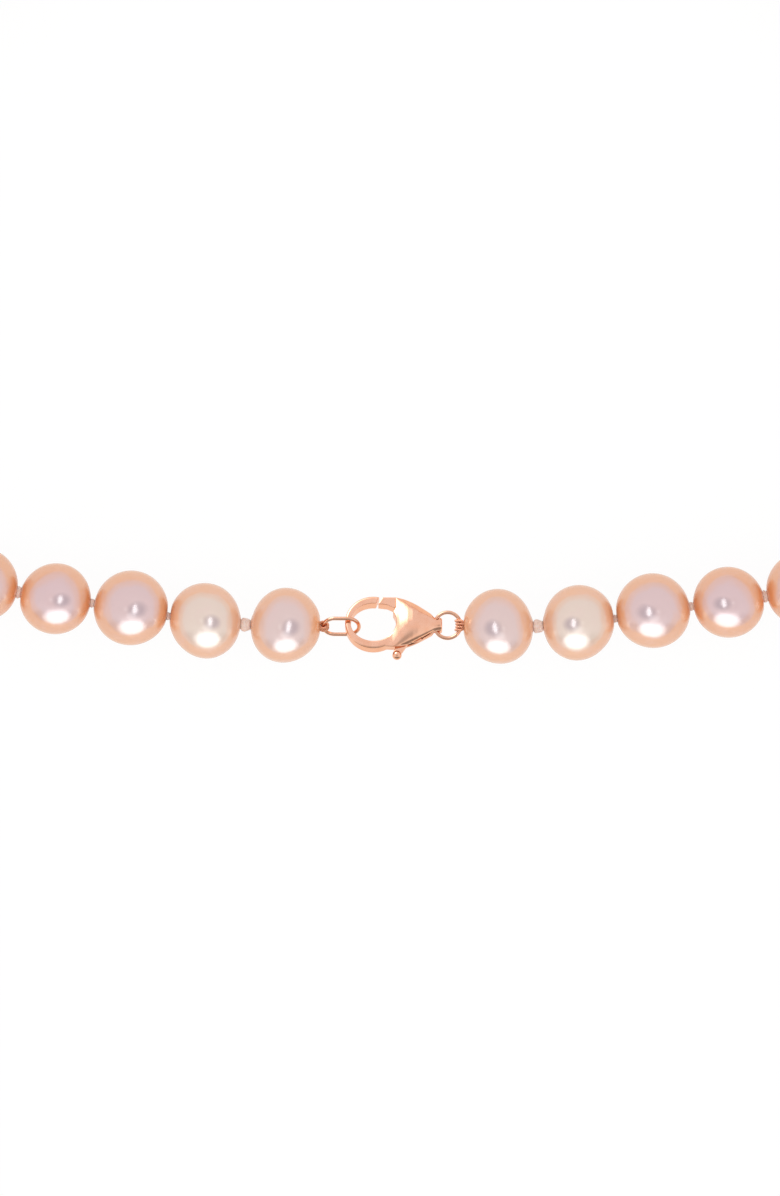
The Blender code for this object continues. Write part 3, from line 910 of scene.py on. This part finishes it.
def polish(name, bm, steps, voxel, passes):
    """Carve, remesh evenly and relax, so that every edge is softened like polished metal."""
    work = bpy.data.objects.new("work", to_mesh(bm, "work"))
    bpy.context.scene.collection.objects.link(work)
    tools = carve(work, steps)
    remesh = work.modifiers.new("remesh", "REMESH")
    remesh.mode = "VOXEL"
    remesh.voxel_size = voxel
    relax = work.modifiers.new("relax", "SMOOTH")
    relax.factor = 0.5
    relax.iterations = passes
    depsgraph = bpy.context.evaluated_depsgraph_get()
    mesh = bpy.data.meshes.new_from_object(work.evaluated_get(depsgraph))
    mesh.name = name
    for extra in [work, *tools]:
        bpy.data.objects.remove(extra, do_unlink=True)
    return mesh


def turned_about_pin(point, degrees):
    pin = PIN_LOCAL.to_2d()
    return tuple(Matrix.Rotation(math.radians(degrees), 2) @ (Vector(point) - pin) + pin)


def clasp_body_mesh(voxel):
    """The cast body: hook, domed body with its pocket, pin hole and the eye for the ring."""
    notch = [(-2.42, 2.1), (-1.27, 4.6), (0.55, 4.6), (0.55, 2.18), (0.0, 1.2)]
    pocket = [(0.3, 3.45), (0.25, 1.7), (0.95, 1.65), (1.2, 1.2), (0.62, -2.6), (0.1, -5.2)]
    pocket += [turned_about_pin(p, POCKET_SWEEP) for p in ((2.0, -5.6), (2.75, 1.3))]
    pocket += [(2.8, 2.4), (2.2, 2.8), (1.2, 3.15)]
    all_round = [(-9, -9), (9, -9), (9, 9), (-9, 9)]
    # the ring's wire passes level through the eye although the clasp is tilted
    across = Vector(clasp_placement().to_3x3().inverted() @ Vector((0, 1, 0))).normalized() * 3
    eye = Vector((EYE_X, 0, 0))
    steps = [
        ("DIFFERENCE", plate(all_round, -6, BACK_PLANE)),
        ("UNION", plate(oval(HOOK_CENTRE, HOOK_OUTER), -HOOK_HALF, HOOK_HALF, 0.25)),
        ("DIFFERENCE", plate(oval(HOOK_CENTRE, HOOK_INNER), -4, 4)),
        ("DIFFERENCE", plate(notch, -4, 4)),
        ("DIFFERENCE", plate(pocket, *POCKET_HEIGHTS)),
        ("DIFFERENCE", plate(sector(3.7, 6.2, -80, -47), *SLOT_HEIGHTS)),
        ("DIFFERENCE", pin_bar(-3, 0.95, PIN_RADIUS + 0.03)),
        ("DIFFERENCE", bar(eye - across, eye + across, EYE_RADIUS)),
    ]
    return polish("clasp_body_cast", body_loft(), steps, voxel, BODY_PASSES)


def clasp_lever_mesh(voxel):
    """The lever: its arm in the pocket, the nose that shuts the hook, its heel and its knob."""
    arm = [(0.2, 3.3), (1.2, 3.0), (2.1, 2.66), (2.58, 2.2), (2.6, 1.5), (2.15, -2.9), (1.3, -4.2),
           (0.15, -4.2), (0.75, -2.9), (1.35, 1.2), (0.95, 2.1), (0.2, 2.5)]
    nose = [(-1.28, 3.66), (0.56, 3.66), (0.56, 2.3), (0.42, 2.08), (0.2, 2.14), (-0.6, 2.52),
            (-1.84, 2.68)]
    knob = bmesh.new()
    bmesh.ops.create_uvsphere(knob, u_segments=48, v_segments=28, radius=KNOB_RADIUS)
    bmesh.ops.translate(knob, vec=KNOB, verts=knob.verts)
    steps = [
        ("UNION", plate(nose, -NOSE_HALF, NOSE_HALF)),
        ("UNION", plate(sector(3.8, 4.86, -96, -65), *HEEL_HEIGHTS)),
        ("UNION", knob),
        ("DIFFERENCE", pin_bar(-2, 2, PIN_RADIUS + 0.05)),
    ]
    return polish("clasp_lever_cast", plate(arm, *ARM_HEIGHTS), steps, voxel, LEVER_PASSES)


def pin_mesh():
    """The rivet: a bar with softly domed ends."""
    sides = 32
    profile = [(0.01, BACK_PLANE), (0.22, BACK_PLANE + 0.01), (PIN_RADIUS, BACK_PLANE + 0.07),
               (PIN_RADIUS, 0.84), (0.22, 0.9), (0.01, 0.9)]
    turns = 2 * math.pi * np.arange(sides) / sides
    vertices = [(r * math.cos(t), r * math.sin(t), z) for r, z in profile for t in turns]
    faces = grid_faces(len(profile), sides, False)
    faces.append(tuple(range(sides)))
    faces.append(tuple((len(profile) - 1) * sides + i for i in reversed(range(sides))))
    return mesh_of("lever_pin_rivet", [Vector(v) + PIN_LOCAL for v in vertices], faces)


def spring_mesh():
    """A bent wire between the pocket's wall and the lever's arm."""
    points = [(3.4, 0.5, 0), (3.1, -1.1, 0), (2.75, -1.75, 0), (2.58, -1.1, 0), (2.55, 0.1, 0)]
    return tube("lever_spring_wire", smooth_path(points, 8), SPRING_WIRE, 12)


def build_clasp(gold):
    voxel = VOXEL
    steel = steel_material("spring_steel")
    placement = clasp_placement()
    parts = (
        ("clasp_body", clasp_body_mesh(voxel), gold, "clasp_body", "rose_gold"),
        ("clasp_lever", clasp_lever_mesh(voxel), gold, "clasp_lever", "rose_gold"),
        ("lever_pin", pin_mesh(), gold, "clasp_body", "rose_gold"),
        ("lever_spring", spring_mesh(), steel, "clasp_body", "spring_steel"),
    )
    for node, mesh, material, body, slot in parts:
        mesh.transform(placement)
        piece = add_piece(node + "_fine", mesh, material)
        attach(piece, body)
        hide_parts(node)


# ------------------------------------------------------------------ studio

PHOTO_SHAPE = 1196 / 780
FRAME_WIDTH = 104 * MM
CAMERA_HEIGHT = 1.3
CAMERA_ROLL = 0.3
SENSOR_WIDTH = 36
PEARL_LEVEL = 5 * MM
CLASP_LINE = joint_at("clasp_on_ring").y

SKY_BEHIND = (0.84, 0.79, 0.86)
SKY_IN_FRONT = (0.93, 0.89, 0.92)
TABLE_MIRRORED = (0.93, 0.80, 0.73)
WHITE = (1.0, 1.0, 1.0)
COOL = (0.86, 0.95, 1.0)
COOLER = (0.72, 0.96, 1.0)


def studio_reflection(n, direction):
    """What polished surfaces see along a direction.

    x and y place the direction on a ball looked at from above: 0, 0 is straight up, y grows
    towards the front, and everything past 0.7 from the middle lies below the horizon.
    """
    x, y = half_vector(n, direction)
    _, _, rise = n.split(direction)
    sky = n.mix(n.span(y, -0.6, 0.5), SKY_BEHIND, SKY_IN_FRONT)
    colour = n.mix(n.span(rise, -0.12, 0.02), TABLE_MIRRORED, sky)
    # the camera's dim shape overhead
    camera_reach = n.length(n.math("MULTIPLY", x, 0.8), n.math("SUBTRACT", y, 0.05))
    colour = n.scaled(colour, n.span(camera_reach, 0.06, 0.30, 0.55, 1.0))
    # the shade below the front softbox
    front = n.product(n.span(y, 0.24, 0.42), n.span(n.length(x, 0.0), 0.72, 0.5),
                      n.span(rise, -0.1, 0.0))
    return n.scaled(colour, n.span(front, 0.0, 1.0, 1.0, 0.3))


def studio_floor():
    """A pale floor that reads as near white from above."""
    n = material_nodes("pale_floor")
    n.tree.nodes.remove(n.bsdf)
    path = n.add("ShaderNodeLightPath")
    diffuse = n.add("ShaderNodeBsdfDiffuse")
    diffuse.inputs["Color"].default_value = (0.86, 0.85, 0.84, 1.0)
    glow = n.add("ShaderNodeEmission")
    glow.inputs["Strength"].default_value = 1.02
    seen = n.add("ShaderNodeMixShader")
    n.put(n.math("MULTIPLY", path.outputs["Is Camera Ray"], 0.92), seen.inputs[0])
    n.put(diffuse.outputs[0], seen.inputs[1])
    n.put(glow.outputs[0], seen.inputs[2])
    geometry = n.add("ShaderNodeNewGeometry")
    mirrored = n.add("ShaderNodeEmission")
    away = n.scaled(geometry.outputs["Incoming"], -1.0)
    n.put(studio_reflection(n, away), mirrored.inputs["Color"])
    surface = n.add("ShaderNodeMixShader")
    n.put(path.outputs["Is Glossy Ray"], surface.inputs[0])
    n.put(seen.outputs[0], surface.inputs[1])
    n.put(mirrored.outputs[0], surface.inputs[2])
    n.put(surface.outputs[0], n.tree.nodes["Material Output"].inputs["Surface"])
    bm = bmesh.new()
    bmesh.ops.create_grid(bm, x_segments=4, y_segments=4, size=2.0)
    floor = add_piece("studio_floor", to_mesh(bm, "studio_floor"), n.material,
                      Matrix.Translation((0, 0, -0.0002)))


def studio_world():
    """Even white light, with the studio's shapes for polished surfaces."""
    world = bpy.data.worlds.new("studio")
    bpy.context.scene.world = world
    world.use_nodes = True
    n = Nodes(world.node_tree)
    even = n.tree.nodes["Background"]
    even.inputs["Color"].default_value = (1.0, 1.0, 1.0, 1.0)
    even.inputs["Strength"].default_value = 1.0
    shapes = n.add("ShaderNodeBackground")
    direction = n.add("ShaderNodeTexCoord").outputs["Generated"]
    n.put(studio_reflection(n, direction), shapes.inputs["Color"])
    mix = n.add("ShaderNodeMixShader")
    n.put(n.add("ShaderNodeLightPath").outputs["Is Glossy Ray"], mix.inputs[0])
    n.put(even.outputs[0], mix.inputs[1])
    n.put(shapes.outputs[0], mix.inputs[2])
    n.put(mix.outputs[0], n.tree.nodes["World Output"].inputs["Surface"])


def aimed(target, azimuth, elevation, distance):
    """A placement whose -Z looks at the target; azimuth 0 is towards -Y, 90 towards +X."""
    a, e = math.radians(azimuth), math.radians(elevation)
    back = Vector((math.sin(a) * math.cos(e), -math.cos(a) * math.cos(e), math.sin(e)))
    turn = (-back).to_track_quat("-Z", "Y").to_matrix().to_4x4()
    return Matrix.Translation(target + back * distance) @ turn


def soft_light(name, lit, shape, size, radiance, azimuth=0, elevation=0, distance=1.0,
               target=None, colour=WHITE):
    """A light panel that only the lit pieces catch, and only in their polish."""
    light = bpy.data.lights.new(name, "AREA")
    light.shape = shape
    light.size, light.size_y = size
    area = size[0] * size[1] * (1.0 if shape == "RECTANGLE" else math.pi / 4)
    light.energy = radiance * math.pi * area
    light.color = colour
    panel = bpy.data.objects.new(name, light)
    bpy.context.scene.collection.objects.link(panel)
    middle = target or Vector((0, CLASP_LINE, PEARL_LEVEL))
    panel.matrix_world = aimed(middle, azimuth, elevation, distance)
    panel.visible_camera = False
    panel.visible_diffuse = False
    panel.light_linking.receiver_collection = lit


def pieces_named(name, prefixes):
    """A collection of the pieces whose names start with one of the prefixes."""
    found = bpy.data.collections.new(name)
    for piece in bpy.context.scene.objects:
        if piece.type == "MESH" and piece.name.startswith(prefixes):
            found.objects.link(piece)
    return found


# part, shape, size, radiance, distance, height above the pearls, colour
FRONT_SOFTBOX = (
    ("softbox", "ELLIPSE", (1.78, 1.60), 1.6, 1.0, 0.61, WHITE),
    ("softbox_core", "ELLIPSE", (1.36, 1.16), 2.3, 0.99, 0.54, COOLER),
    ("softbox_strip", "RECTANGLE", (1.6, 0.66), 1.4, 1.0, 0.96, WHITE),
)
SOFTBOX_ASIDE = 0.10


def side_lights(side, sign, lit):
    """One side's lights: the photo's two halves are mirrored, and so are these."""
    # an upright round softbox that stands on the table's edge in front, with a strip across it
    for part, shape, size, radiance, distance, height, colour in FRONT_SOFTBOX:
        middle = Vector((SOFTBOX_ASIDE * sign, CLASP_LINE, PEARL_LEVEL + height))
        soft_light(f"{part}_{side}", lit, shape, size, radiance, distance=distance, target=middle,
                   colour=colour)
    # a small light beside the lens, and a weak one opposite
    soft_light(f"lens_light_{side}", lit, "ELLIPSE", (0.52, 0.27), 5.0, 82 * sign, 76)
    soft_light(f"fill_light_{side}", lit, "DISK", (0.2, 0.2), 1.2, -85 * sign, 74)


def studio_lights():
    side_lights("left", 1, pieces_named("left_pearls", ("pearl_left", "pearl_front")))
    side_lights("right", -1, pieces_named("right_pearls", ("pearl_right",)))
    # a cool reflector between the lens and the softbox, for the pearls beside the clasp
    near = tuple(f"pearl_{word}_{k:02d}" for word in SIDES for k in (1, 2, 3))
    soft_light("cool_reflector", pieces_named("near_pearls", near), "ELLIPSE", (0.6, 0.42), 1.1,
               8, 66, colour=COOL)
    # nested panels behind the clasp, brightest in the middle
    metal = pieces_named("metal", ("clasp_", "lever_", "tail_", "oval_", "wire_"))
    soft_light("clasp_panel", metal, "ELLIPSE", (0.24, 0.36), 2.6, 209, 13, 0.5)
    soft_light("clasp_panel_wide", metal, "ELLIPSE", (0.36, 0.44), 1.0, 207, 15, 0.5)
    soft_light("clasp_panel_edge", metal, "ELLIPSE", (0.52, 0.52), 0.5, 205, 17, 0.5)


def studio_camera():
    """Straight above the clasp, as in the photo."""
    camera = bpy.data.objects.new("camera", bpy.data.cameras.new("camera"))
    bpy.context.scene.collection.objects.link(camera)
    aim = Vector((-0.27 * MM, CLASP_LINE + 3.6 * MM, PEARL_LEVEL))
    camera.location = aim + Vector((0, 0, CAMERA_HEIGHT))
    camera.rotation_euler = (0, 0, math.radians(CAMERA_ROLL))
    camera.data.sensor_width = SENSOR_WIDTH
    camera.data.lens = SENSOR_WIDTH * CAMERA_HEIGHT / (FRAME_WIDTH * PHOTO_SHAPE)
    camera.data.clip_start = 0.01
    camera.data.clip_end = 20
    bpy.context.scene.camera = camera
    bpy.context.scene.view_settings.view_transform = "Standard"


# ------------------------------------------------------------------ assembly

def build_strand():
    silk = silk_material("silk")
    right = strand("right")
    left = strand("left")
    across = joint_at(f"knot_left_{PER_SIDE:02d}") - joint_at(f"knot_right_{PER_SIDE:02d}")
    front = Bead("pearl_front", PER_SIDE + 1, "front", across)
    for bead in [*right, *left, front]:
        build_pearl(bead)
    build_silk(right, "right", front, silk)
    build_silk(left, "left", front, silk)


def main():
    build_strand()
    gold = gold_material("rose_gold")
    # the rings' gold is the same gold painted darker, as painted shade on the thin wire
    ring_gold = gold_material("rose_gold_rings", 0.16, 0.92)
    build_ring("tail_ring", tail_ring_path(), ring_gold, 22)
    build_ring("oval_link", oval_link_path(), ring_gold, 34)
    build_guard("right", joint_at("clasp_lift"), 0.0, 1.72 * MM,
                [reach * MM for reach in (-0.6, -0.2, 0.2, 0.6)], 0.05 * MM, ring_gold)
    build_guard("left", joint_at("link_on_guard"), 47.0, 1.3 * MM,
                [reach * MM for reach in (-0.22, 0.22)], 0.13 * MM, ring_gold)
    build_clasp(gold)
    studio_floor()
    studio_world()
    studio_lights()
    studio_camera()


main()
